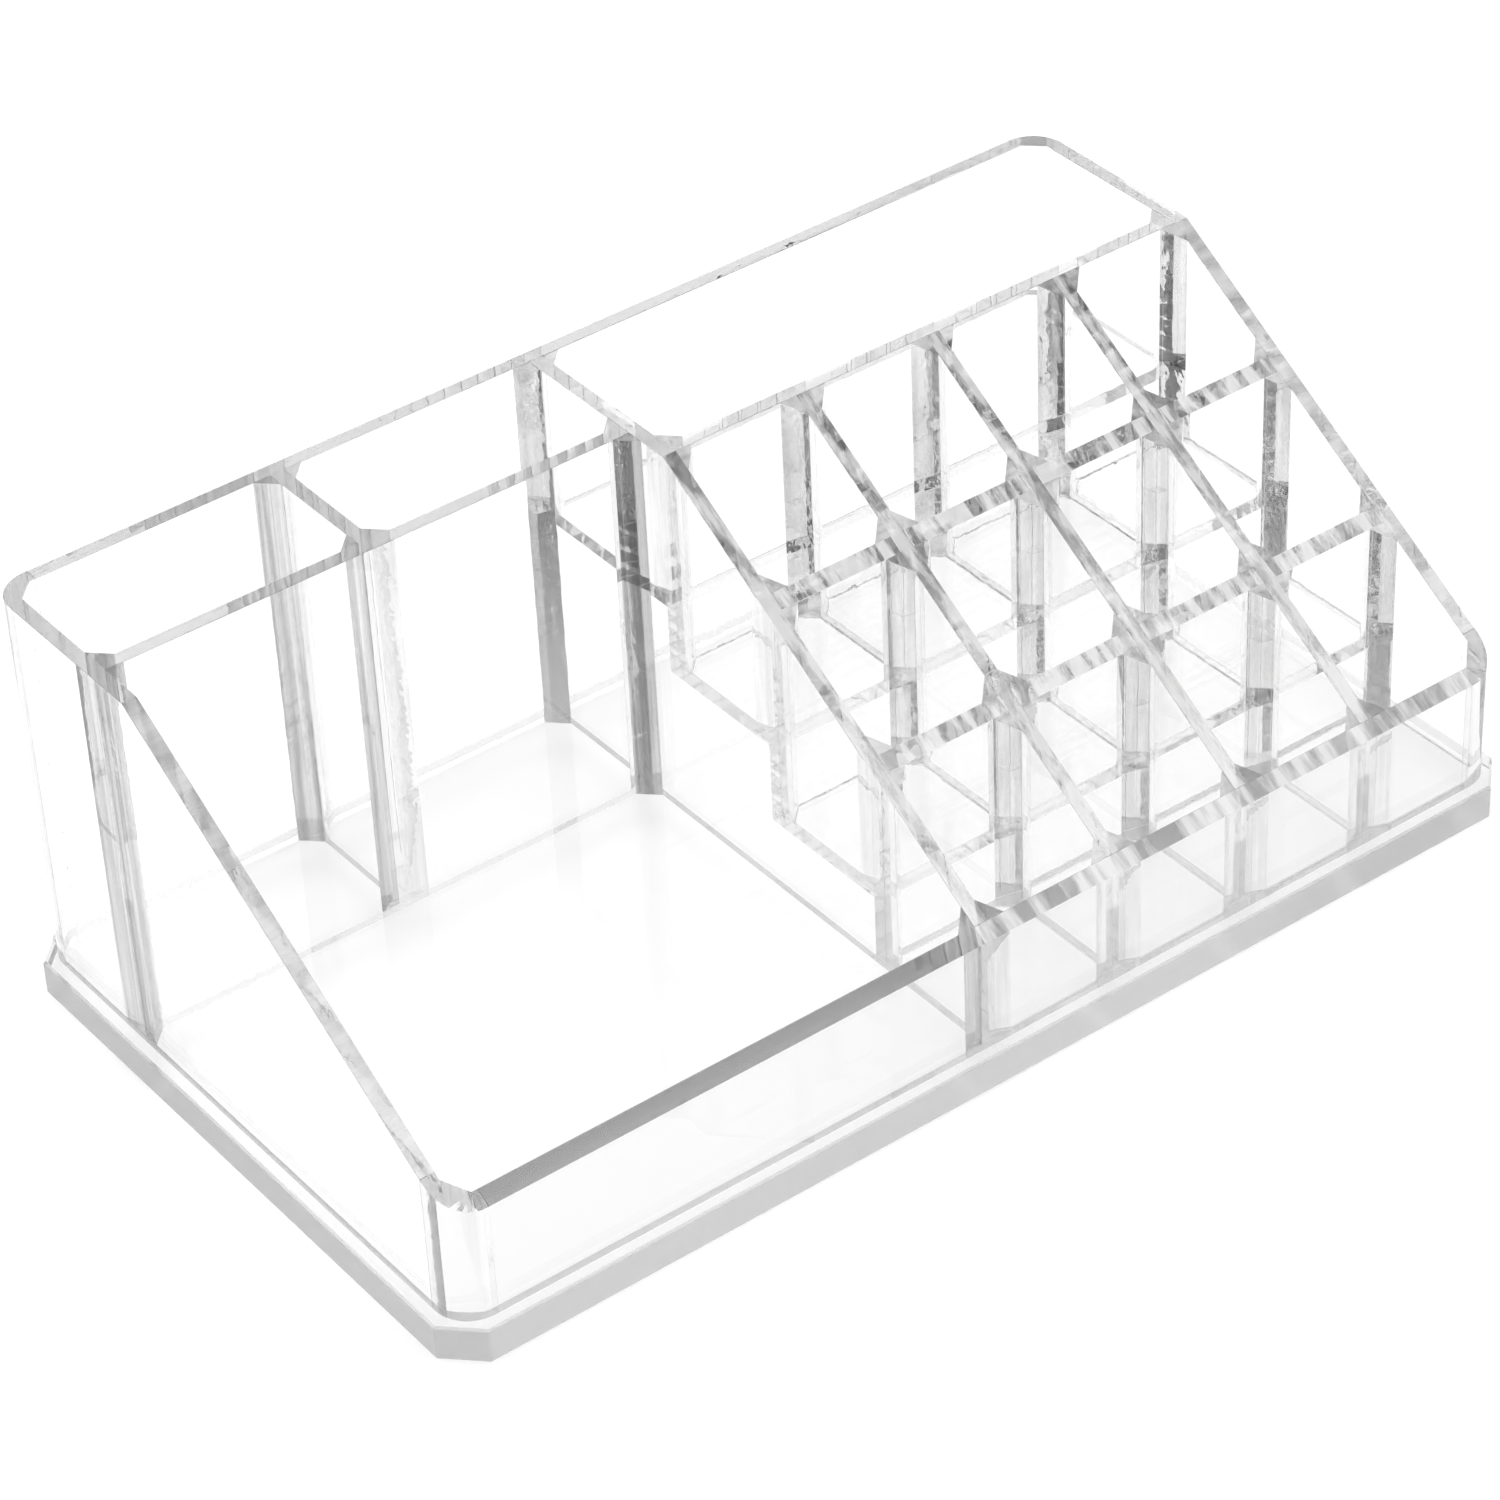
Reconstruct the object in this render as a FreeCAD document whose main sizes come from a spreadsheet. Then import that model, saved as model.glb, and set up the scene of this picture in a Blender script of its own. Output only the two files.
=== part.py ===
import FreeCAD, Part
import os
import re

import Sketcher

os.makedirs("parts", exist_ok=True)
doc = FreeCAD.newDocument("VanityOrganizer")

# The stair has three rows of lipstick cells, with dividers between the cells of a row.
DIVIDERS = ("left_lipstick_divider", "middle_lipstick_divider", "right_lipstick_divider")
COLUMNS = len(DIVIDERS) + 1

# Driving sizes in millimetres. X runs along the front, Y to the back, Z up from the table.
SIZES = {
    # Base plate: outline, cut corners, ledge outside the walls, broken edges.
    "base_width": 220.0,
    "base_depth": 125.6,
    "base_height": 6.8,
    "base_corner": 6.0,
    "ledge": 2.3,
    "edge_break": 0.4,
    # Outer walls: height at the back, height of the front edge, sheet thickness.
    "overall_height": 79.4,
    "front_height": 28.4,
    "outer_wall": 2.7,
    # Inner walls, shelves and the facets in the inside corners.
    "inner_wall": 2.7,
    "shelf_thickness": 2.6,
    "strip_leg": 3.3,
    # Flat of a corner post on each side of its inside facet.
    "post_land": 1.2,
    # Clear insides of the two bins and of the raised tray.
    "bin_width": 48.8,
    "bin_depth": 25.4,
    "tray_depth": 34.5,
    # Heights of the raised floors above the table.
    "tray_floor_height": 50.2,
    "rear_shelf_height": 37.0,
    "middle_shelf_height": 21.6,
    # Room on each side of a half lap for the cement.
    "lap_clearance": 0.05,
}

# Places and sizes that follow from the driving ones.
PLACES = {
    "left_x": "ledge - base_width / 2",
    "right_x": "base_width / 2 - ledge",
    "front_y": "ledge - base_depth / 2",
    "back_y": "base_depth / 2 - ledge",
    "left_in": "left_x + outer_wall",
    "right_in": "right_x - outer_wall",
    "front_in": "front_y + outer_wall",
    "back_in": "back_y - outer_wall",
    "wall_rise": "overall_height - base_height",
    # Corner posts: reach along each wall, and the rounding of their outside.
    "post_reach": "outer_wall + strip_leg + post_land",
    "corner_round": "post_reach - post_land / 2",
    # Bins: left face of the divider, back face of the wall in front of them.
    "bin_divider_x": "left_in + bin_width",
    "bin_front_y": "back_in - bin_depth",
    # Stair: its side wall, the wall in front of the raised tray, and where the slope begins.
    "stair_x": "bin_divider_x + inner_wall + bin_width",
    "stair_in": "stair_x + inner_wall",
    "stair_width": "right_in - stair_in",
    "tray_front_y": "back_in - tray_depth",
    "stair_top_y": "tray_front_y - inner_wall",
    "slope": "(overall_height - front_height) / (stair_top_y - front_y)",
    # Lipstick cells.
    "cell_width": "(stair_width - {} * inner_wall) / {}".format(len(DIVIDERS), COLUMNS),
    "cell_depth": "(stair_top_y - front_in - 2 * inner_wall) / 3",
    "cell_pitch": "cell_width + inner_wall",
    "rear_row_y": "stair_top_y - cell_depth",
    "front_row_y": "rear_row_y - inner_wall - cell_depth",
    # Half laps: the height at which a divider and a row wall share the crossing.
    "rear_lap": "(rear_shelf_height + overall_height"
                " - slope * (cell_depth + inner_wall / 2)) / 2",
    "front_lap": "(middle_shelf_height + overall_height"
                 " - slope * (2 * cell_depth + inner_wall * 3 / 2)) / 2",
}

# Insides of the compartments that take corner strips: left, right, front, back and foot.
COLUMN_LEFT = ["stair_in + {} * cell_pitch".format(column) for column in range(COLUMNS)]
ROWS = {
    "rear_row": ("rear_row_y", "stair_top_y", "rear_shelf_height"),
    "middle_row": ("front_row_y", "rear_row_y - inner_wall", "middle_shelf_height"),
    "front_row": ("front_in", "front_row_y - inner_wall", "base_height"),
}

# How far the cutter that makes the slope reaches past the walls.
CUTTER_MARGIN = 10


def bound(rule):
    """Return a rule with each size and place named through its sheet."""
    def with_sheet(match):
        word = match.group(0)
        if word in SIZES:
            return "Sizes." + word
        if word in PLACES:
            return "Places." + word
        return word
    return re.sub(r"[a-z_]+", with_sheet, str(rule))


def fill_sheet(name, cells):
    """Make a sheet with one named cell for each entry."""
    sheet = doc.addObject("Spreadsheet::Sheet", name)
    for row, (alias, content) in enumerate(cells.items(), start=1):
        sheet.set("A{}".format(row), alias)
        sheet.set("B{}".format(row), str(content))
        sheet.setAlias("B{}".format(row), alias)
    doc.recompute()
    return sheet


fill_sheet("Sizes", SIZES)
places_sheet = fill_sheet("Places", {alias: "=" + bound(rule).replace("Places.", "")
                                     for alias, rule in PLACES.items()})


def value_of(rule):
    """Return the number that a rule stands for now."""
    return float(places_sheet.evalExpression(bound(rule)))


def top_at(y):
    """Return the rule for the height of the slope at a place in front of its upper end."""
    return "overall_height - slope * (stair_top_y - ({}))".format(y)


def put(thing, place):
    """Bind the position of a body or solid to its x, y and z rules."""
    for axis, rule in zip("xyz", place):
        thing.setExpression("Placement.Base." + axis, bound(rule))


def sketch_on(body, role, name):
    """Return a new sketch on one of the origin planes of a body."""
    sketch = body.newObject("Sketcher::SketchObject", name)
    plane = [item for item in body.Origin.OriginFeatures if item.Role == role][0]
    sketch.AttachmentSupport = (plane, "")
    sketch.MapMode = "FlatFace"
    return sketch


def draw(sketch, corners):
    """Draw a closed outline whose corners are held by rules for their two coordinates."""
    first = sketch.GeometryCount
    points = [FreeCAD.Vector(value_of(across), value_of(up), 0) for across, up in corners]
    count = len(points)
    for index in range(count):
        sketch.addGeometry(Part.LineSegment(points[index], points[(index + 1) % count]), False)
    for index in range(count):
        sketch.addConstraint(Sketcher.Constraint(
            "Coincident", first + index, 2, first + (index + 1) % count, 1))
    for index, (across, up) in enumerate(corners):
        line = first + index
        hold(sketch, line, "DistanceX", across, points[index].x, -2)
        hold(sketch, line, "DistanceY", up, points[index].y, -1)


def hold(sketch, line, kind, rule, start, axis):
    """Hold the first end of a line on an axis, or at a ruled distance from the origin."""
    if rule == "0":
        sketch.addConstraint(Sketcher.Constraint("PointOnObject", line, 1, axis))
        return
    number = sketch.addConstraint(Sketcher.Constraint(kind, -1, 1, line, 1, start))
    sketch.setExpression("Constraints[{}]".format(number), bound(rule))


def padded(name, role, corners, length, place):
    """Return a body made of one outline, padded to a length and put in its place."""
    body = doc.addObject("PartDesign::Body", name)
    sketch = sketch_on(body, role, name + "_outline")
    draw(sketch, corners)
    pad = body.newObject("PartDesign::Pad", name + "_pad")
    pad.Profile = sketch
    pad.setExpression("Length", bound(length))
    body.Tip = pad
    put(body, place)
    doc.recompute()
    return body


def sheet_panel(name, low, high):
    """Return a flat rectangular panel between two opposite corners."""
    panel = doc.addObject("Part::Box", name)
    for side, start, end in zip(("Length", "Width", "Height"), low, high):
        panel.setExpression(side, bound("({}) - ({})".format(end, start)))
    put(panel, low)
    return panel


def cut(name, base, tool):
    """Return what a tool leaves of a base."""
    result = doc.addObject("Part::Cut", name)
    result.Base = base
    result.Tool = tool
    return result


def group(name, members):
    """Return several separate solids as one piece list."""
    result = doc.addObject("Part::Compound", name)
    result.Links = members
    return result


# Base plate: a thick sheet with cut corners and a broken edge round its top and its underside.
base = padded("base_plate", "XY_Plane",
              [("base_corner", "0"), ("base_width - base_corner", "0"),
               ("base_width", "base_corner"), ("base_width", "base_depth - base_corner"),
               ("base_width - base_corner", "base_depth"), ("base_corner", "base_depth"),
               ("0", "base_depth - base_corner"), ("0", "base_corner")],
              "base_height", ("-base_width / 2", "-base_depth / 2", "0"))
plate = base.Tip
level_edges = ["Edge{}".format(number) for number, edge in enumerate(plate.Shape.Edges, start=1)
               if edge.BoundBox.ZLength < value_of("edge_break")]
broken = base.newObject("PartDesign::Chamfer", "base_plate_edge")
broken.Base = (plate, level_edges)
broken.setExpression("Size", bound("edge_break"))
base.Tip = broken
doc.recompute()

# The space above the slope, which is cut away from posts and strips.
slope_cutter = doc.addObject("Part::Wedge", "slope_cutter")
cutter_front = "front_y - {}".format(CUTTER_MARGIN)
for side, rule in {
        "Xmin": "left_x - {}".format(CUTTER_MARGIN), "X2min": "left_x - {}".format(CUTTER_MARGIN),
        "Xmax": "right_x + {}".format(CUTTER_MARGIN), "X2max": "right_x + {}".format(CUTTER_MARGIN),
        "Ymin": cutter_front, "Ymax": "stair_top_y",
        "Zmin": top_at(cutter_front), "Z2min": "overall_height",
        "Zmax": "overall_height + {}".format(CUTTER_MARGIN),
        "Z2max": "overall_height + {}".format(CUTTER_MARGIN)}.items():
    slope_cutter.setExpression(side, bound(rule))

# Outer walls, which butt against the corner posts.
SIDE_START = "front_y + post_reach"
SIDE_LENGTH = "back_y - front_y - 2 * post_reach"


def sloped_side(start, length):
    """Return the outline of a wall that is level at the back and follows the slope to the front."""
    return [("0", "0"), (length, "0"), (length, "wall_rise"),
            ("stair_top_y - ({})".format(start), "wall_rise"),
            ("0", top_at(start) + " - base_height")]


padded("back_wall", "YZ_Plane",
       [("0", "0"), ("outer_wall", "0"), ("outer_wall", "wall_rise"), ("0", "wall_rise")],
       "right_x - left_x - 2 * post_reach", ("left_x + post_reach", "back_in", "base_height"))
padded("left_side_wall", "YZ_Plane", sloped_side(SIDE_START, SIDE_LENGTH),
       "outer_wall", ("left_x", SIDE_START, "base_height"))
padded("right_side_wall", "YZ_Plane", sloped_side(SIDE_START, SIDE_LENGTH),
       "outer_wall", ("right_in", SIDE_START, "base_height"))
padded("front_wall", "YZ_Plane",
       [("0", "0"), ("outer_wall", "0"), ("outer_wall", top_at("front_in") + " - base_height"),
        ("0", top_at("front_y") + " - base_height")],
       "right_x - left_x - 2 * post_reach", ("left_x + post_reach", "front_y", "base_height"))

# Corner posts: rounded outside, with a facet inside and square ends for the walls.
POST = [("0", "0"), ("outer_wall", "0"), ("outer_wall", "post_land"),
        ("post_reach - post_land", "post_reach - outer_wall"),
        ("post_reach", "post_reach - outer_wall"), ("post_reach", "post_reach"), ("0", "post_reach")]
FRONT_POST = [(across, "post_reach - ({})".format(up) if up != "post_reach" else "0")
              for across, up in POST]


def rounded_post(name, corners, outside, place):
    """Return a left post whose upright edge at the outside corner is rounded."""
    body = padded(name, "XY_Plane", corners, "wall_rise", place)
    square = body.Tip
    edges = square.Shape.Edges
    middle = FreeCAD.Vector(0, value_of(outside), value_of("wall_rise") / 2)
    nearest = min(range(len(edges)), key=lambda index: (edges[index].CenterOfMass - middle).Length)
    rounding = body.newObject("PartDesign::Fillet", name + "_rounding")
    rounding.Base = (square, ["Edge{}".format(nearest + 1)])
    rounding.setExpression("Radius", bound("corner_round"))
    body.Tip = rounding
    doc.recompute()
    return body


rear_post = rounded_post("rear_left_post", POST, "post_reach",
                         ("left_x", "back_y - post_reach", "base_height"))
tall_post = rounded_post("front_left_post", FRONT_POST, "0", ("left_x", "front_y", "base_height"))
front_post = cut("front_left_post_sloped", tall_post, slope_cutter)


def mirrored_pair(name, post):
    """Return a post and its mirror image on the right side as one group."""
    image = doc.addObject("Part::Mirroring", name + "_image")
    image.Source = post
    image.Normal = FreeCAD.Vector(1, 0, 0)
    return group(name, [post, image])


mirrored_pair("rear_corner_posts", rear_post)
mirrored_pair("front_corner_posts", front_post)

# Walls of the bins, and the wall between them and the stair.
sheet_panel("bin_front_wall", ("left_in", "bin_front_y - inner_wall", "base_height"),
            ("stair_x", "bin_front_y", "overall_height"))
sheet_panel("bin_divider", ("bin_divider_x", "bin_front_y", "base_height"),
            ("bin_divider_x + inner_wall", "back_in", "overall_height"))
padded("stair_side_wall", "YZ_Plane", sloped_side("front_in", "back_in - front_in"),
       "inner_wall", ("stair_x", "front_in", "base_height"))

# Raised floors: each is held between the walls of its step. The tray floor leaves out the post.
padded("tray_floor", "XY_Plane",
       [("0", "0"), ("stair_width", "0"), ("stair_width", "tray_depth - strip_leg"),
        ("stair_width - strip_leg", "tray_depth"), ("0", "tray_depth")],
       "shelf_thickness", ("stair_in", "tray_front_y", "tray_floor_height - shelf_thickness"))
sheet_panel("rear_row_shelf", ("stair_in", "rear_row_y", "rear_shelf_height - shelf_thickness"),
            ("right_in", "stair_top_y", "rear_shelf_height"))
sheet_panel("middle_row_shelf", ("stair_in", "front_row_y", "middle_shelf_height - shelf_thickness"),
            ("right_in", "rear_row_y - inner_wall", "middle_shelf_height"))
sheet_panel("tray_front_wall", ("stair_in", "stair_top_y", "rear_shelf_height - shelf_thickness"),
            ("right_in", "tray_front_y", "overall_height"))


def row_wall(name, back, foot, lap):
    """Return a wall across the stair with three slots from its top for the dividers."""
    front = "{} - inner_wall".format(back)
    body = padded(name, "YZ_Plane",
                  [("0", "0"), ("inner_wall", "0"),
                   ("inner_wall", "{} - ({})".format(top_at(back), foot)),
                   ("0", "{} - ({})".format(top_at(front), foot))],
                  "stair_width", ("stair_in", front, foot))
    outline = sketch_on(body, "XZ_Plane", name + "_slot_outline")
    left = "cell_width - lap_clearance"
    right = "cell_pitch + lap_clearance"
    low = "{} - ({})".format(lap, foot)
    draw(outline, [(left, low), (right, low), (right, "wall_rise"), (left, "wall_rise")])
    slot = body.newObject("PartDesign::Pocket", name + "_slot")
    slot.Profile = outline
    slot.Type = "ThroughAll"
    body.Tip = slot
    slots = body.newObject("PartDesign::LinearPattern", name + "_slots")
    slots.Originals = [slot]
    slots.Direction = ([item for item in body.Origin.OriginFeatures if item.Role == "X_Axis"][0], [""])
    slots.setExpression("Length", bound("{} * cell_pitch".format(len(DIVIDERS) - 1)))
    slots.Occurrences = len(DIVIDERS)
    body.Tip = slots
    doc.recompute()
    return body


row_wall("rear_row_wall", "rear_row_y", "middle_shelf_height - shelf_thickness", "rear_lap")
row_wall("front_row_wall", "front_row_y", "base_height", "front_lap")


def stepped_outline():
    """Return the outline of a divider: stepped over the shelves, slotted from below at each row wall."""
    def across(y):
        return "{} - front_in".format(y)

    def above(height):
        return "{} - base_height".format(height)

    outline = [("0", "0")]
    for wall, lap, shelf in (("front_row_y", "front_lap", "middle_shelf_height"),
                             ("rear_row_y", "rear_lap", "rear_shelf_height")):
        near = across(wall + " - inner_wall - lap_clearance")
        far = across(wall + " + lap_clearance")
        below = "0" if wall == "front_row_y" else above("middle_shelf_height")
        outline += [(near, below), (near, above(lap)), (far, above(lap)), (far, above(shelf))]
    outline += [(across("stair_top_y"), above("rear_shelf_height")),
                (across("stair_top_y"), "wall_rise"),
                ("0", top_at("front_in") + " - base_height")]
    return outline


for count, name in enumerate(DIVIDERS, start=1):
    padded(name, "YZ_Plane", stepped_outline(), "inner_wall",
           ("stair_in + {} * cell_pitch - inner_wall".format(count), "front_in", "base_height"))

# Corner strips: three-cornered bars in the inside corners, numbered by quarter turns from front left.
FRONT_LEFT, FRONT_RIGHT, BACK_RIGHT, BACK_LEFT = range(4)


def strip(name, box, turn):
    """Return one corner strip of a compartment given as left, right, front, back and foot."""
    left, right, front, back, foot = box
    bar = doc.addObject("Part::Wedge", name)
    for side in ("Xmin", "Ymin", "Zmin", "X2min", "Z2min", "X2max"):
        setattr(bar, side, 0)
    for side in ("Xmax", "Ymax"):
        bar.setExpression(side, bound("strip_leg"))
    for side in ("Zmax", "Z2max"):
        bar.setExpression(side, bound("overall_height - ({})".format(foot)))
    bar.Placement.Rotation = FreeCAD.Rotation(FreeCAD.Vector(0, 0, 1), 90 * turn)
    put(bar, (left if turn in (FRONT_LEFT, BACK_LEFT) else right,
              front if turn in (FRONT_LEFT, FRONT_RIGHT) else back, foot))
    return bar


def strips(name, boxes, left_out=()):
    """Return the strips of some compartments as one group, cut off by the slope."""
    bars = [strip("{}_{}_{}".format(name, number, turn), box, turn)
            for number, box in enumerate(boxes)
            for turn in (FRONT_LEFT, FRONT_RIGHT, BACK_RIGHT, BACK_LEFT)
            if (number, turn) not in left_out]
    return cut(name, group(name + "_uncut", bars), slope_cutter)


strips("left_bin_corner_strips",
       [("left_in", "bin_divider_x", "bin_front_y", "back_in", "base_height")], [(0, BACK_LEFT)])
strips("middle_bin_corner_strips",
       [("bin_divider_x + inner_wall", "stair_x", "bin_front_y", "back_in", "base_height")])
strips("back_tray_corner_strips",
       [("stair_in", "right_in", "tray_front_y", "back_in", "tray_floor_height")], [(0, BACK_RIGHT)])
strips("front_tray_corner_strips",
       [("left_in", "stair_x", "front_in", "bin_front_y - inner_wall", "base_height")], [(0, FRONT_LEFT)])
for row, (front, back, foot) in ROWS.items():
    strips(row + "_corner_strips",
           [(left, left + " + cell_width", front, back, foot) for left in COLUMN_LEFT],
           [(COLUMNS - 1, FRONT_RIGHT)] if row == "front_row" else [])

doc.recompute()

PIECES = [
    "base_plate", "back_wall", "left_side_wall", "right_side_wall", "front_wall",
    "rear_corner_posts", "front_corner_posts", "bin_front_wall", "bin_divider", "stair_side_wall",
    "tray_floor", "rear_row_shelf", "middle_row_shelf", "tray_front_wall", "rear_row_wall",
    "front_row_wall", *DIVIDERS,
    "left_bin_corner_strips", "middle_bin_corner_strips", "back_tray_corner_strips",
    "front_tray_corner_strips", "rear_row_corner_strips", "middle_row_corner_strips",
    "front_row_corner_strips",
]

for thing in doc.Objects:
    if "Invalid" in thing.State or "Error" in thing.State:
        raise RuntimeError("{} failed: {}".format(thing.Label, thing.State))
for name in PIECES:
    shape = doc.getObject(name).Shape
    if shape.isNull() or not shape.isValid():
        raise RuntimeError("{} has no valid shape".format(name))
    print("{}: {} solids, {:.1f} mm3".format(name, len(shape.Solids), shape.Volume))
    shape.exportStep("parts/{}.step".format(name))
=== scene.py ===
"""Looks of a clear cosmetics organizer: finishes, cement beads, studio and camera."""

import logging
import math
from dataclasses import dataclass, field
from enum import Enum

import bmesh
import bpy
from mathutils import Matrix, Vector


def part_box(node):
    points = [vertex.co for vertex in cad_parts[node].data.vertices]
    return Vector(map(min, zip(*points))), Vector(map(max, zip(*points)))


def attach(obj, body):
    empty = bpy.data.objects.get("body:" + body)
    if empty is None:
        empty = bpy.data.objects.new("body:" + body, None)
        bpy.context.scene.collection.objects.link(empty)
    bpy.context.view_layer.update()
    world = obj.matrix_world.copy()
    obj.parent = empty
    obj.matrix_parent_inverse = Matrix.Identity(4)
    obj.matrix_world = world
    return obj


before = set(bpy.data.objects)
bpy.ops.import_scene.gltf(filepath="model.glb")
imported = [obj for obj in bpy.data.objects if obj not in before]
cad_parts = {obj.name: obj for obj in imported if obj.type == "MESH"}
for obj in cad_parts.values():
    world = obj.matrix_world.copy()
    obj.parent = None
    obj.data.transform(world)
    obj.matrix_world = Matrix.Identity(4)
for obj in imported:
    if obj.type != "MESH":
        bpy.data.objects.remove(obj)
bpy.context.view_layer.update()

Socket = bpy.types.NodeSocket

LOG = logging.getLogger("organizer")
MM = 0.001
BODY = "root"


class Grade(Enum):
    """Which clear finish a piece has."""

    SHEET = "sheet"
    SLOPED_SHEET = "sloped sheet"
    DIVIDER_SHEET = "divider sheet"
    ROW_SHEET = "row sheet"
    # painted shade: a darker copy of the strip finish
    STRIP = "strip"
    SHADED_STRIP = "bin strip"
    POST = "post"
    STILL_SHEET = "still sheet"
    PLATE = "plate"
    CEMENT = "cement"


class Side(Enum):
    """Which end of a node's box a place is taken from."""

    LOW = 0
    HIGH = 1


def edge_of(node: str, side: Side, axis: int) -> float:
    """Gives one coordinate of a node's box.

    Args:
        node: Name of the CAD node.
        side: The low or the high end of the box.
        axis: 0, 1 or 2 for x, y or z.

    Returns:
        The coordinate in metres.
    """
    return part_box(node)[side.value][axis]


def noise(
    tree: bpy.types.NodeTree, place: Socket, scale: float,
    stretch: tuple[float, float, float], detail: float = 2.0,
) -> Socket:
    """Adds a noise texture to a node tree.

    Args:
        tree: Nodes of the material.
        place: Place on the piece.
        scale: Number of noise cells per metre.
        stretch: How dense the cells are along x, y and z.
        detail: Number of finer layers.

    Returns:
        The noise level, about 0 to 1.
    """
    mapping = tree.nodes.new("ShaderNodeMapping")
    mapping.inputs["Scale"].default_value = stretch
    texture = tree.nodes.new("ShaderNodeTexNoise")
    texture.inputs["Scale"].default_value = scale
    texture.inputs["Detail"].default_value = detail
    tree.links.new(place, mapping.inputs["Vector"])
    tree.links.new(mapping.outputs["Vector"], texture.inputs["Vector"])
    return texture.outputs["Fac"]


def spread(
    tree: bpy.types.NodeTree, value: Socket,
    source: tuple[float, float], target: tuple[float, float],
) -> Socket:
    """Maps a value from one range to another, clamped at its ends.

    Args:
        tree: Nodes of the material or the surround.
        value: What is mapped.
        source: Low and high end of the value.
        target: Low and high end of the result.

    Returns:
        The mapped value.
    """
    node = tree.nodes.new("ShaderNodeMapRange")
    ends = zip(("From Min", "From Max", "To Min", "To Max"), (*source, *target))
    for name, end in ends:
        node.inputs[name].default_value = end
    tree.links.new(value, node.inputs["Value"])
    return node.outputs["Result"]


def combine(
    tree: bpy.types.NodeTree, operation: str,
    left: Socket | float, right: Socket | float, margin: float = 0.0,
) -> Socket:
    """Adds a calculation to a node tree.

    Args:
        tree: Nodes of the material or the surround.
        operation: Name of the calculation.
        left: First value, or the socket that gives it.
        right: Second value, or the socket that gives it.
        margin: Largest difference that counts as equal in a comparison.

    Returns:
        The result.
    """
    node = tree.nodes.new("ShaderNodeMath")
    node.operation = operation
    for socket, value in zip(node.inputs, (left, right, margin)):
        if isinstance(value, float):
            socket.default_value = value
        else:
            tree.links.new(value, socket)
    return node.outputs["Value"]


def part_of(tree: bpy.types.NodeTree, vector: Socket, axis: str) -> Socket:
    """Takes one coordinate out of a vector.

    Args:
        tree: Nodes of the material or the surround.
        vector: The vector.
        axis: X, Y or Z.

    Returns:
        The coordinate.
    """
    node = tree.nodes.new("ShaderNodeSeparateXYZ")
    tree.links.new(vector, node.inputs["Vector"])
    return node.outputs[axis]


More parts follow.
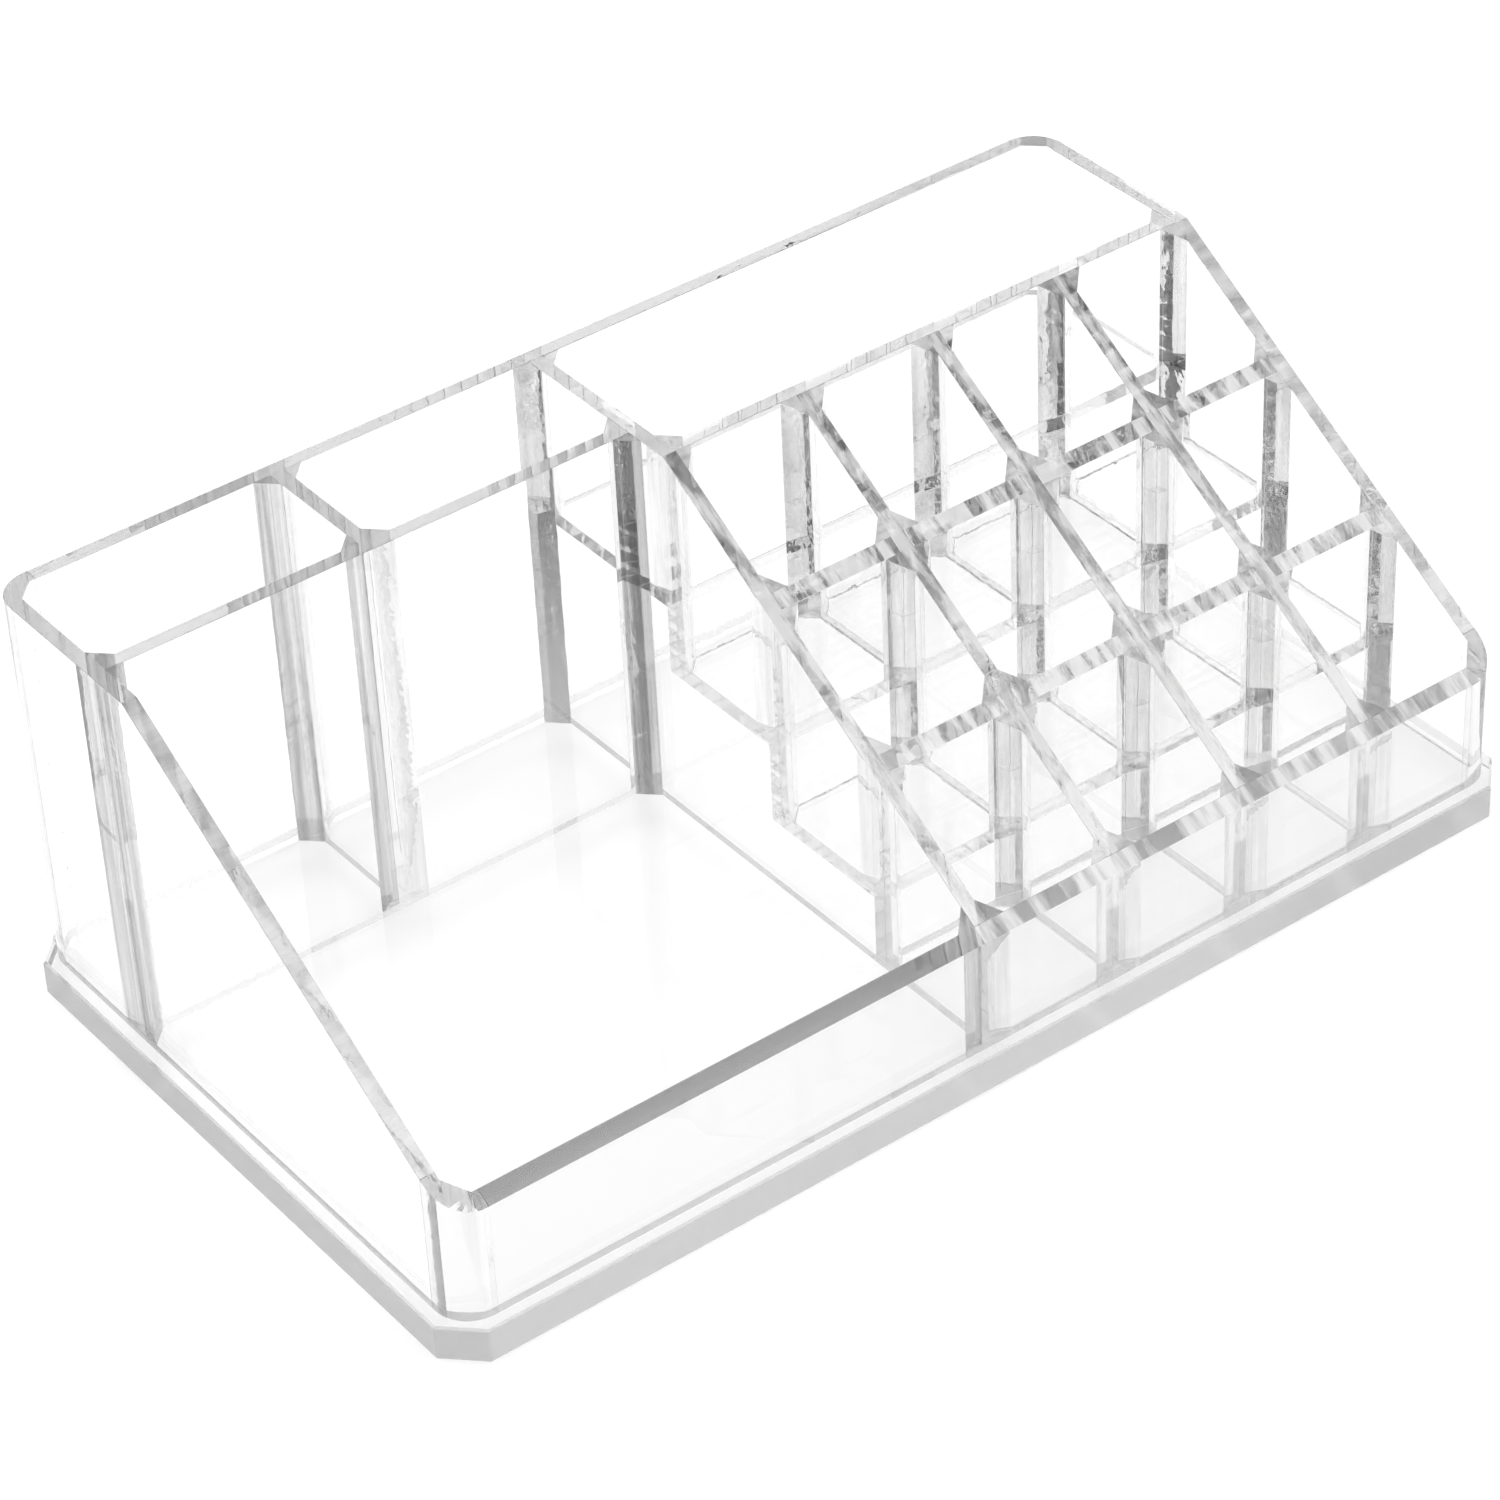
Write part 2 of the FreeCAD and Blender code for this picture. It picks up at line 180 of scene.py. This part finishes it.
@dataclass(frozen=True)
class ClearAcrylic:
    """Clear acrylic that darkens with depth and has slightly wavy faces.

    Attributes:
        name: Name of the material.
        density: Absorption density, per metre.
        tint: Colour that the depth of the acrylic turns to.
        face_grey: Light that a hazed face lets through, 1 for a clear one.
        wave_size: Number of waves per metre.
        wave_height: Height of the waves in metres.
        foot_scuff: Roughness of faces that stand on the table.
        foot_height: Height in metres up to which a face counts as standing.
        edge_haze: Least and most haze in the tool marks of sloping edges.
        edge_marks: Number of tool marks per metre.
        mark_stretch: How dense the tool marks are along x, y and z.
        mark_range: Noise levels at which a mark begins and is deepest.
        mark_detail: Number of finer layers in the tool marks.
        edge_tilt: Upward part of a sloping edge's normal.
        tilt_margin: Difference from that at which an edge still counts.
        haze_from: Lowest x in metres of the tool marks.
        shade_streaks: Number of painted shade streaks per metre, 0 for none.
        shade_streak_stretch: How dense the streaks are along x, y and z.
        shade_streak_range: Noise levels of the greyest and the clearest streak.
        shade_streak_greys: Painted shade: light let through in the streaks and between
            them.
        ior: Index of refraction.
    """

    name: str
    density: float
    tint: tuple[float, float, float] = (0.5, 0.5, 0.5)
    face_grey: float = 1.0
    wave_size: float = 150.0
    wave_height: float = 0.025 * MM
    foot_scuff: float = 0.0
    foot_height: float = 0.1 * MM
    edge_haze: tuple[float, float] = (0.0, 0.0)
    edge_marks: float = 220.0
    mark_stretch: tuple[float, float, float] = (0.15, 1.0, 0.15)
    mark_range: tuple[float, float] = (0.42, 0.58)
    mark_detail: float = 3.0
    edge_tilt: float = 0.847
    tilt_margin: float = 0.08
    haze_from: float = -1.0
    shade_streaks: float = 0.0
    shade_streak_stretch: tuple[float, float, float] = (1.0, 1.0, 0.08)
    shade_streak_range: tuple[float, float] = (0.4, 0.6)
    shade_streak_greys: tuple[float, float] = (0.8, 1.0)
    ior: float = 1.49

    def material(self) -> bpy.types.Material:
        """Builds the node material.

        Returns:
            The new material.
        """
        material = bpy.data.materials.new(self.name)
        material.use_nodes = True
        tree = material.node_tree
        shader = tree.nodes["Principled BSDF"]
        shader.inputs["Base Color"].default_value = (*(self.face_grey,) * 3, 1.0)
        shader.inputs["Roughness"].default_value = 0.0
        shader.inputs["IOR"].default_value = self.ior
        shader.inputs["Transmission Weight"].default_value = 1.0
        place = tree.nodes.new("ShaderNodeTexCoord").outputs["Object"]
        self.add_depth(tree)
        self.add_waves(tree, place)
        if self.foot_scuff > 0.0:
            self.add_foot_scuff(tree, place)
        if max(self.edge_haze) > 0.0:
            self.add_tool_marks(tree, place)
        if self.shade_streaks > 0.0:
            self.add_painted_shade_streaks(tree, place)
        return material

    def add_depth(self, tree: bpy.types.NodeTree) -> None:
        """Darkens the acrylic with depth.

        Args:
            tree: Nodes of the material.
        """
        depth = tree.nodes.new("ShaderNodeVolumeAbsorption")
        depth.inputs["Color"].default_value = (*self.tint, 1.0)
        depth.inputs["Density"].default_value = self.density
        output = tree.nodes["Material Output"]
        tree.links.new(depth.outputs["Volume"], output.inputs["Volume"])

    def add_waves(self, tree: bpy.types.NodeTree, place: Socket) -> None:
        """Makes the faces slightly wavy.

        Args:
            tree: Nodes of the material.
            place: Place on the piece.
        """
        bump = tree.nodes.new("ShaderNodeBump")
        bump.inputs["Strength"].default_value = 1.0
        bump.inputs["Distance"].default_value = self.wave_height
        waves = noise(tree, place, self.wave_size, (1.0, 1.0, 1.0))
        tree.links.new(waves, bump.inputs["Height"])
        shader = tree.nodes["Principled BSDF"]
        tree.links.new(bump.outputs["Normal"], shader.inputs["Normal"])

    def add_foot_scuff(self, tree: bpy.types.NodeTree, place: Socket) -> None:
        """Scuffs the faces that stand on the table.

        Args:
            tree: Nodes of the material.
            place: Place on the piece.
        """
        low = combine(tree, "LESS_THAN", part_of(tree, place, "Z"), self.foot_height)
        scuff = combine(tree, "MULTIPLY", low, self.foot_scuff)
        tree.links.new(scuff, tree.nodes["Principled BSDF"].inputs["Roughness"])

    def add_tool_marks(self, tree: bpy.types.NodeTree, place: Socket) -> None:
        """Hazes the sloping edges in tool marks.

        Args:
            tree: Nodes of the material.
            place: Place on the piece.
        """
        facing = tree.nodes.new("ShaderNodeNewGeometry").outputs["True Normal"]
        sloping = combine(
            tree, "COMPARE", part_of(tree, facing, "Z"), self.edge_tilt, self.tilt_margin)
        marks = noise(
            tree, place, self.edge_marks, self.mark_stretch, detail=self.mark_detail)
        haze = spread(tree, marks, self.mark_range, self.edge_haze)
        hazed = combine(tree, "MULTIPLY", sloping, haze)
        begun = combine(tree, "GREATER_THAN", part_of(tree, place, "X"), self.haze_from)
        clear = combine(
            tree, "SUBTRACT", 1.0, combine(tree, "MULTIPLY", hazed, begun))
        shader = tree.nodes["Principled BSDF"]
        tree.links.new(clear, shader.inputs["Transmission Weight"])

    def add_painted_shade_streaks(self, tree: bpy.types.NodeTree, place: Socket) -> None:
        """Paints grey streaks of shade along the faces: painted shade in the Base Color,
        which also darkens the light let through.

        Args:
            tree: Nodes of the material.
            place: Place on the piece.
        """
        # painted shade: grey streaks in the base colour stand in for the shade and
        # reflections seen in the strips
        shade_noise = noise(tree, place, self.shade_streaks, self.shade_streak_stretch)
        grey = spread(tree, shade_noise, self.shade_streak_range, self.shade_streak_greys)
        tree.links.new(grey, tree.nodes["Principled BSDF"].inputs["Base Color"])


@dataclass(frozen=True)
class PolishedEdge:
    """Softened edges of a panel, and the hair by which cemented pieces run together.

    Attributes:
        width: Width of the softened edge in metres, 0 for none.
        bond: Distance in metres by which a piece grows into its neighbours.
        segments: Facets across the softened edge.
        least_angle: Least angle in degrees of an edge that is softened.
        weld: Distance in metres at which two corners are one.
    """

    width: float = 0.05 * MM
    bond: float = 0.03 * MM
    segments: int = 1
    least_angle: float = 30.0
    weld: float = 0.001 * MM

    def apply(self, panel: bpy.types.Object) -> None:
        """Adds the edge modifiers to a panel.

        Args:
            panel: The object of a CAD node.
        """
        skin = panel.modifiers.new("one_skin", "WELD")
        skin.merge_threshold = self.weld
        if self.width > 0.0:
            soften = panel.modifiers.new("polished_edge", "BEVEL")
            soften.width = self.width
            soften.segments = self.segments
            soften.limit_method = "ANGLE"
            soften.angle_limit = math.radians(self.least_angle)
        grow = panel.modifiers.new("cement_bond", "DISPLACE")
        grow.strength = self.bond
        grow.mid_level = 0.0
        grow.direction = "NORMAL"


@dataclass
class SubAssembly:
    """A group of clear pieces that keep the shape of their CAD nodes.

    Attributes:
        title: What the group is called in the log.
        panels: Names of its flat panels.
        strips: Names of its corner strips and posts.
        panel_edge: Edge of the panels.
        strip_edge: Edge of the strips.
        panel_grade: Finish of the panels.
        painted_shade_strips: Those of the strips that get the darker painted shade
            streaks.
    """

    title: str
    panels: tuple[str, ...]
    strips: tuple[str, ...] = ()
    panel_edge: PolishedEdge = PolishedEdge()
    strip_edge: PolishedEdge = PolishedEdge(width=0.0)
    panel_grade: Grade = Grade.SHEET
    painted_shade_strips: tuple[str, ...] = ()

    def build(self) -> None:
        """Softens the edges of the panels and bonds all pieces."""
        for name in self.panels:
            self.panel_edge.apply(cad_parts[name])
        for name in self.strips:
            self.strip_edge.apply(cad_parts[name])

    def dress(self, finishes: dict[Grade, bpy.types.Material]) -> None:
        """Gives each piece its finish.

        Args:
            finishes: One material for each grade.
        """
        for name in self.panels:
            self.put_on(name, finishes[self.panel_grade])
        for name in self.strips:
            grade = Grade.SHADED_STRIP if name in self.painted_shade_strips else Grade.STRIP
            self.put_on(name, finishes[grade])

    def put_on(self, name: str, finish: bpy.types.Material) -> None:
        """Puts a finish in all material slots of a node.

        Args:
            name: Name of the CAD node.
            finish: The material.
        """
        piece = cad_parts[name]
        for slot in piece.material_slots:
            slot.material = finish
        LOG.info("%s: %s in %s", self.title, name, finish.name)


@dataclass
class BasePlate(SubAssembly):
    """The thick plate with cut corners that everything stands on."""

    title: str = "base plate"
    panels: tuple[str, ...] = ("base_plate",)
    panel_grade: Grade = Grade.PLATE


@dataclass
class BackWall(SubAssembly):
    """The level wall at the back."""

    title: str = "back wall"
    panels: tuple[str, ...] = ("back_wall",)


@dataclass
class SideWalls(SubAssembly):
    """The two outer walls that slope down to the front."""

    title: str = "side walls"
    panels: tuple[str, ...] = ("left_side_wall", "right_side_wall")
    panel_grade: Grade = Grade.SLOPED_SHEET


@dataclass
class CornerPosts(SubAssembly):
    """The rounded posts between the outer walls."""

    title: str = "corner posts"
    panels: tuple[str, ...] = ("rear_corner_posts", "front_corner_posts")
    panel_edge: PolishedEdge = PolishedEdge(width=0.0)
    panel_grade: Grade = Grade.POST


@dataclass
class FrontWall(SubAssembly):
    """The low wall at the front, of a flatter sheet."""

    title: str = "front wall"
    panels: tuple[str, ...] = ("front_wall",)
    panel_grade: Grade = Grade.STILL_SHEET


@dataclass
class BinBlock(SubAssembly):
    """The two tall bins and the low front tray on the left."""

    title: str = "bins"
    panels: tuple[str, ...] = ("bin_front_wall", "bin_divider")
    strips: tuple[str, ...] = (
        "left_bin_corner_strips", "middle_bin_corner_strips",
        "front_tray_corner_strips",
    )
    painted_shade_strips: tuple[str, ...] = (
        "left_bin_corner_strips", "front_tray_corner_strips",
    )


@dataclass
class RaisedTray(SubAssembly):
    """The raised tray at the back and the shelves under the lipstick cells."""

    title: str = "raised tray and shelves"
    panels: tuple[str, ...] = (
        "tray_floor", "tray_front_wall", "rear_row_shelf", "middle_row_shelf",
    )
    strips: tuple[str, ...] = ("back_tray_corner_strips",)


@dataclass
class LipstickDividers(SubAssembly):
    """The stair's side wall, the stepped dividers of a row, and the strips."""

    title: str = "lipstick dividers"
    panels: tuple[str, ...] = (
        "stair_side_wall", "left_lipstick_divider", "middle_lipstick_divider",
        "right_lipstick_divider",
    )
    strips: tuple[str, ...] = (
        "rear_row_corner_strips", "middle_row_corner_strips",
        "front_row_corner_strips",
    )
    panel_grade: Grade = Grade.DIVIDER_SHEET


@dataclass
class RowWalls(SubAssembly):
    """The two slotted walls between the rows of lipstick cells."""

    title: str = "row walls"
    panels: tuple[str, ...] = ("rear_row_wall", "front_row_wall")
    panel_grade: Grade = Grade.ROW_SHEET


@dataclass(frozen=True)
class Compartment:
    """The floor of one compartment.

    Attributes:
        left: Lowest x of the floor.
        right: Highest x of the floor.
        front: Lowest y of the floor.
        back: Highest y of the floor.
        height: Height of the floor.
    """

    left: float
    right: float
    front: float
    back: float
    height: float

    def outline(self, leg: float, inset: float) -> list[tuple[float, float]]:
        """Gives the eight corners of the floor between its corner strips.

        Args:
            leg: Leg of the three-cornered strips.
            inset: Distance in from the walls.

        Returns:
            Corners as x, y pairs, counter-clockwise.
        """
        left, right = self.left + inset, self.right - inset
        front, back = self.front + inset, self.back - inset
        cut = leg - inset * (2.0 - math.sqrt(2.0))
        return [
            (left + cut, front), (right - cut, front),
            (right, front + cut), (right, back - cut),
            (right - cut, back), (left + cut, back),
            (left, back - cut), (left, front + cut),
        ]


@dataclass
class CementBeads:
    """Hollow-ground beads of cement along the foot of the lipstick cells' walls.

    Attributes:
        size: Leg of a bead on the wall and on the floor.
        strip_leg: Leg of the three-cornered strips in the corners.
        bond: Distance by which a bead runs into the wall and the floor.
        steps: Facets across the hollow face.
        name: Name of the piece.
    """

    size: float = 0.4 * MM
    strip_leg: float = 3.3 * MM
    bond: float = 0.03 * MM
    steps: int = 4
    name: str = "cell_cement_beads"

    def cells(self) -> list[Compartment]:
        """Gives the lipstick cells, row by row from the rear."""
        dividers = [
            f"{place}_lipstick_divider" for place in ("left", "middle", "right")
        ]
        lefts = [edge_of(name, Side.HIGH, 0) for name in ["stair_side_wall", *dividers]]
        rights = [edge_of(name, Side.LOW, 0) for name in [*dividers, "right_side_wall"]]
        rows = (
            ("tray_front_wall", "rear_row_wall", "rear_row_shelf"),
            ("rear_row_wall", "front_row_wall", "middle_row_shelf"),
            ("front_row_wall", "front_wall", "base_plate"),
        )
        return [
            Compartment(
                left, right,
                edge_of(front, Side.HIGH, 1), edge_of(behind, Side.LOW, 1),
                edge_of(floor, Side.HIGH, 2),
            )
            for behind, front, floor in rows
            for left, right in zip(lefts, rights)
        ]

    def profile(self) -> list[tuple[float, float]]:
        """Gives the section of a bead.

        Returns:
            Points as distance in from the wall and height above the floor.
        """
        points = [(-self.bond, -self.bond), (self.size, -self.bond)]
        for step in range(self.steps + 1):
            turn = math.radians(90.0) * step / self.steps
            points.append((
                self.size * (1.0 - math.sin(turn)),
                self.size * (1.0 - math.cos(turn)),
            ))
        points.append((-self.bond, self.size))
        return points

    def ring(self, mesh: bmesh.types.BMesh, floor: Compartment) -> None:
        """Adds the bead round one floor to a mesh.

        Args:
            mesh: The mesh that the ring goes into.
            floor: The compartment.
        """
        loops = []
        for inset, rise in self.profile():
            loops.append([
                mesh.verts.new((x, y, floor.height + rise))
                for x, y in floor.outline(self.strip_leg, inset)
            ])
        for row, upper in zip(loops, loops[1:] + loops[:1]):
            for corner in range(len(row)):
                after = (corner + 1) % len(row)
                mesh.faces.new((row[corner], row[after], upper[after], upper[corner]))

    def build(self) -> None:
        """Builds the beads of all lipstick cells as one piece."""
        mesh = bmesh.new()
        for floor in self.cells():
            self.ring(mesh, floor)
        bmesh.ops.recalc_face_normals(mesh, faces=mesh.faces)
        data = bpy.data.meshes.new(self.name)
        mesh.to_mesh(data)
        mesh.free()
        piece = bpy.data.objects.new(self.name, data)
        bpy.context.scene.collection.objects.link(piece)
        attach(piece, BODY)

    def dress(self, finishes: dict[Grade, bpy.types.Material]) -> None:
        """Gives the beads their finish.

        Args:
            finishes: One material for each grade.
        """
        bpy.data.objects[self.name].data.materials.append(finishes[Grade.CEMENT])
        LOG.info("cement beads: %s", self.name)


@dataclass
class Studio:
    """White table, soft light from all round, and the camera.

    Attributes:
        table_half: Half the side of the table.
        table_drop: Gap under the organizer, which keeps two faces apart.
        table_white: Reflected part of the light on the table.
        table_glow: What the table adds in the camera's and the acrylic's sight.
        horizon_light: Light of the surround at the height of the table.
        overhead_light: Light of the surround overhead.
        overhead_from: Sine of the height at which the overhead light is reached.
        light_turns: Most bounces of a ray in the acrylic.
        table_turns: Most bounces of a ray off the table.
        camera_right: Direction of the picture's right side.
        camera_down: Direction of the picture's lower side.
        camera_view: Direction in which the camera looks.
        camera_place: Place of the camera in metres.
        lens: Focal length in millimetres.
        sensor: Width of the sensor in millimetres.
    """

    table_half: float = 4.0
    table_drop: float = 0.2 * MM
    table_white: float = 0.9
    table_glow: float = 0.25
    horizon_light: float = 0.80
    overhead_light: float = 1.05
    overhead_from: float = 0.6
    light_turns: int = 48
    table_turns: int = 6
    camera_right: Vector = field(
        default_factory=lambda: Vector((0.793485, -0.607316, -0.039364)))
    camera_down: Vector = field(
        default_factory=lambda: Vector((-0.392009, -0.460559, -0.796376)))
    camera_view: Vector = field(
        default_factory=lambda: Vector((0.465522, 0.647343, -0.603520)))
    camera_place: Vector = field(
        default_factory=lambda: Vector((-0.405467, -0.556935, 0.551088)))
    lens: float = 125.37
    sensor: float = 36.0

    def build(self) -> None:
        """Sets up the table, the light and the camera."""
        self.set_light_paths()
        self.lay_table()
        self.hang_light()
        self.place_camera()

    def set_light_paths(self) -> None:
        """Lets light turn often enough inside the acrylic."""
        scene = bpy.context.scene
        scene.view_settings.view_transform = "Standard"
        scene.cycles.blur_glossy = 0.0
        scene.cycles.max_bounces = self.light_turns
        scene.cycles.transmission_bounces = self.light_turns
        scene.cycles.glossy_bounces = self.light_turns
        scene.cycles.diffuse_bounces = self.table_turns

    def lay_table(self) -> None:
        """Lays the white table under the organizer."""
        mesh = bmesh.new()
        bmesh.ops.create_grid(mesh, x_segments=1, y_segments=1, size=self.table_half)
        data = bpy.data.meshes.new("table")
        mesh.to_mesh(data)
        mesh.free()
        table = bpy.data.objects.new("table", data)
        bpy.context.scene.collection.objects.link(table)
        table.location.z = -self.table_drop
        data.materials.append(self.table_finish())

    def table_finish(self) -> bpy.types.Material:
        """Builds the white of the table, which keeps the shadow.

        Returns:
            The new material.
        """
        material = bpy.data.materials.new("white_table")
        material.use_nodes = True
        tree = material.node_tree
        nodes, links = tree.nodes, tree.links
        nodes.clear()
        output = nodes.new("ShaderNodeOutputMaterial")
        both = nodes.new("ShaderNodeAddShader")
        matt = nodes.new("ShaderNodeBsdfDiffuse")
        matt.inputs["Color"].default_value = (*(self.table_white,) * 3, 1.0)
        glow = nodes.new("ShaderNodeEmission")
        rays = nodes.new("ShaderNodeLightPath")
        seen = rays.outputs["Is Camera Ray"]
        for ray in ("Is Glossy Ray", "Is Transmission Ray"):
            seen = combine(tree, "MAXIMUM", seen, rays.outputs[ray])
        amount = combine(tree, "MULTIPLY", seen, self.table_glow)
        links.new(amount, glow.inputs["Strength"])
        links.new(matt.outputs["BSDF"], both.inputs[0])
        links.new(glow.outputs["Emission"], both.inputs[1])
        links.new(both.outputs["Shader"], output.inputs["Surface"])
        return material

    def hang_light(self) -> None:
        """Makes the soft surround, brighter overhead, and white behind the table."""
        world = bpy.data.worlds.new("soft_surround")
        bpy.context.scene.world = world
        world.use_nodes = True
        tree = world.node_tree
        shade = tree.nodes["Background"]
        shade.inputs["Color"].default_value = (1.0, 1.0, 1.0, 1.0)
        place = tree.nodes.new("ShaderNodeTexCoord").outputs["Generated"]
        level = spread(
            tree, part_of(tree, place, "Z"), (0.0, self.overhead_from),
            (self.horizon_light, self.overhead_light))
        rays = tree.nodes.new("ShaderNodeLightPath")
        seen = combine(tree, "MAXIMUM", level, rays.outputs["Is Camera Ray"])
        tree.links.new(seen, shade.inputs["Strength"])

    def place_camera(self) -> None:
        """Places the camera at the photograph's viewing angle."""
        data = bpy.data.cameras.new("camera")
        data.lens = self.lens
        data.sensor_width = self.sensor
        camera = bpy.data.objects.new("camera", data)
        bpy.context.scene.collection.objects.link(camera)
        axes = (self.camera_right, -self.camera_down, -self.camera_view)
        camera.matrix_world = (
            Matrix.Translation(self.camera_place) @ Matrix(axes).transposed().to_4x4()
        )
        bpy.context.scene.camera = camera


def finishes() -> dict[Grade, bpy.types.Material]:
    """Builds one clear finish for each grade.

    Returns:
        The materials by grade.
    """
    grades = {
        Grade.SHEET: ClearAcrylic(
            "clear_sheet", density=5.0, wave_height=0.015 * MM, wave_size=140.0,
        ),
        # painted shade: light grey streaks (0.88 to 1) in the strips' base colour
        Grade.STRIP: ClearAcrylic(
            "wavy_strip", density=2.0, shade_streaks=700.0, shade_streak_greys=(0.88, 1.0),
            edge_haze=(0.0, 0.5),
            wave_height=0.06 * MM, wave_size=260.0,
        ),
        # painted shade: the bin and tray strips get darker streaks (0.5 to 0.88) and
        # twice the absorption, a shaded copy of the strip finish
        Grade.SHADED_STRIP: ClearAcrylic(
            "bin_strip_painted_shade", density=4.0, shade_streaks=900.0, shade_streak_greys=(0.5, 0.88),
            shade_streak_stretch=(1.0, 1.0, 0.02), edge_haze=(0.0, 0.5),
            wave_height=0.01 * MM, wave_size=260.0,
        ),
        Grade.SLOPED_SHEET: ClearAcrylic(
            "sloped_clear_sheet", density=1.6, wave_height=0.02 * MM, wave_size=250.0,
            edge_haze=(0.05, 0.45), mark_range=(0.35, 0.65),
        ),
        Grade.DIVIDER_SHEET: ClearAcrylic(
            "divider_clear_sheet", density=1.6, wave_height=0.02 * MM, wave_size=250.0,
            edge_haze=(0.0, 0.5), edge_marks=300.0, mark_stretch=(1.6, 0.4, 0.15),
        ),
        Grade.ROW_SHEET: ClearAcrylic(
            "row_clear_sheet", density=1.6, wave_height=0.02 * MM, wave_size=250.0,
            edge_haze=(0.0, 0.6), edge_marks=400.0, mark_range=(0.44, 0.56),
            mark_stretch=(1.0, 0.15, 0.15),
        ),
        Grade.POST: ClearAcrylic(
            "rounded_post", density=18.0, face_grey=0.96,
            wave_height=0.02 * MM, wave_size=140.0,
        ),
        # painted shade: this sheet absorbs far more than the other sheets, which darkens
        # the front wall's top band
        Grade.STILL_SHEET: ClearAcrylic(
            "still_clear_sheet", density=50.0, wave_height=0.003 * MM,
            edge_haze=(0.1, 0.7), edge_marks=300.0, mark_stretch=(1.0, 0.15, 0.15),
            haze_from=edge_of("stair_side_wall", Side.LOW, 0),
        ),
        Grade.PLATE: ClearAcrylic(
            "thick_clear_plate", density=7.0, wave_height=0.006 * MM, foot_scuff=0.3,
        ),
        Grade.CEMENT: ClearAcrylic(
            "set_cement", density=60.0, wave_height=0.08 * MM, wave_size=260.0,
        ),
    }
    return {grade: finish.material() for grade, finish in grades.items()}


def main() -> None:
    """Builds and dresses the sub-assemblies, then the studio."""
    logging.basicConfig(level=logging.INFO)
    clear = finishes()
    assemblies = (
        BasePlate(), BackWall(), SideWalls(), CornerPosts(), FrontWall(),
        BinBlock(), RaisedTray(), LipstickDividers(), RowWalls(), CementBeads(),
    )
    for assembly in assemblies:
        assembly.build()
        assembly.dress(clear)
    Studio().build()


if __name__ == "__main__":
    main()
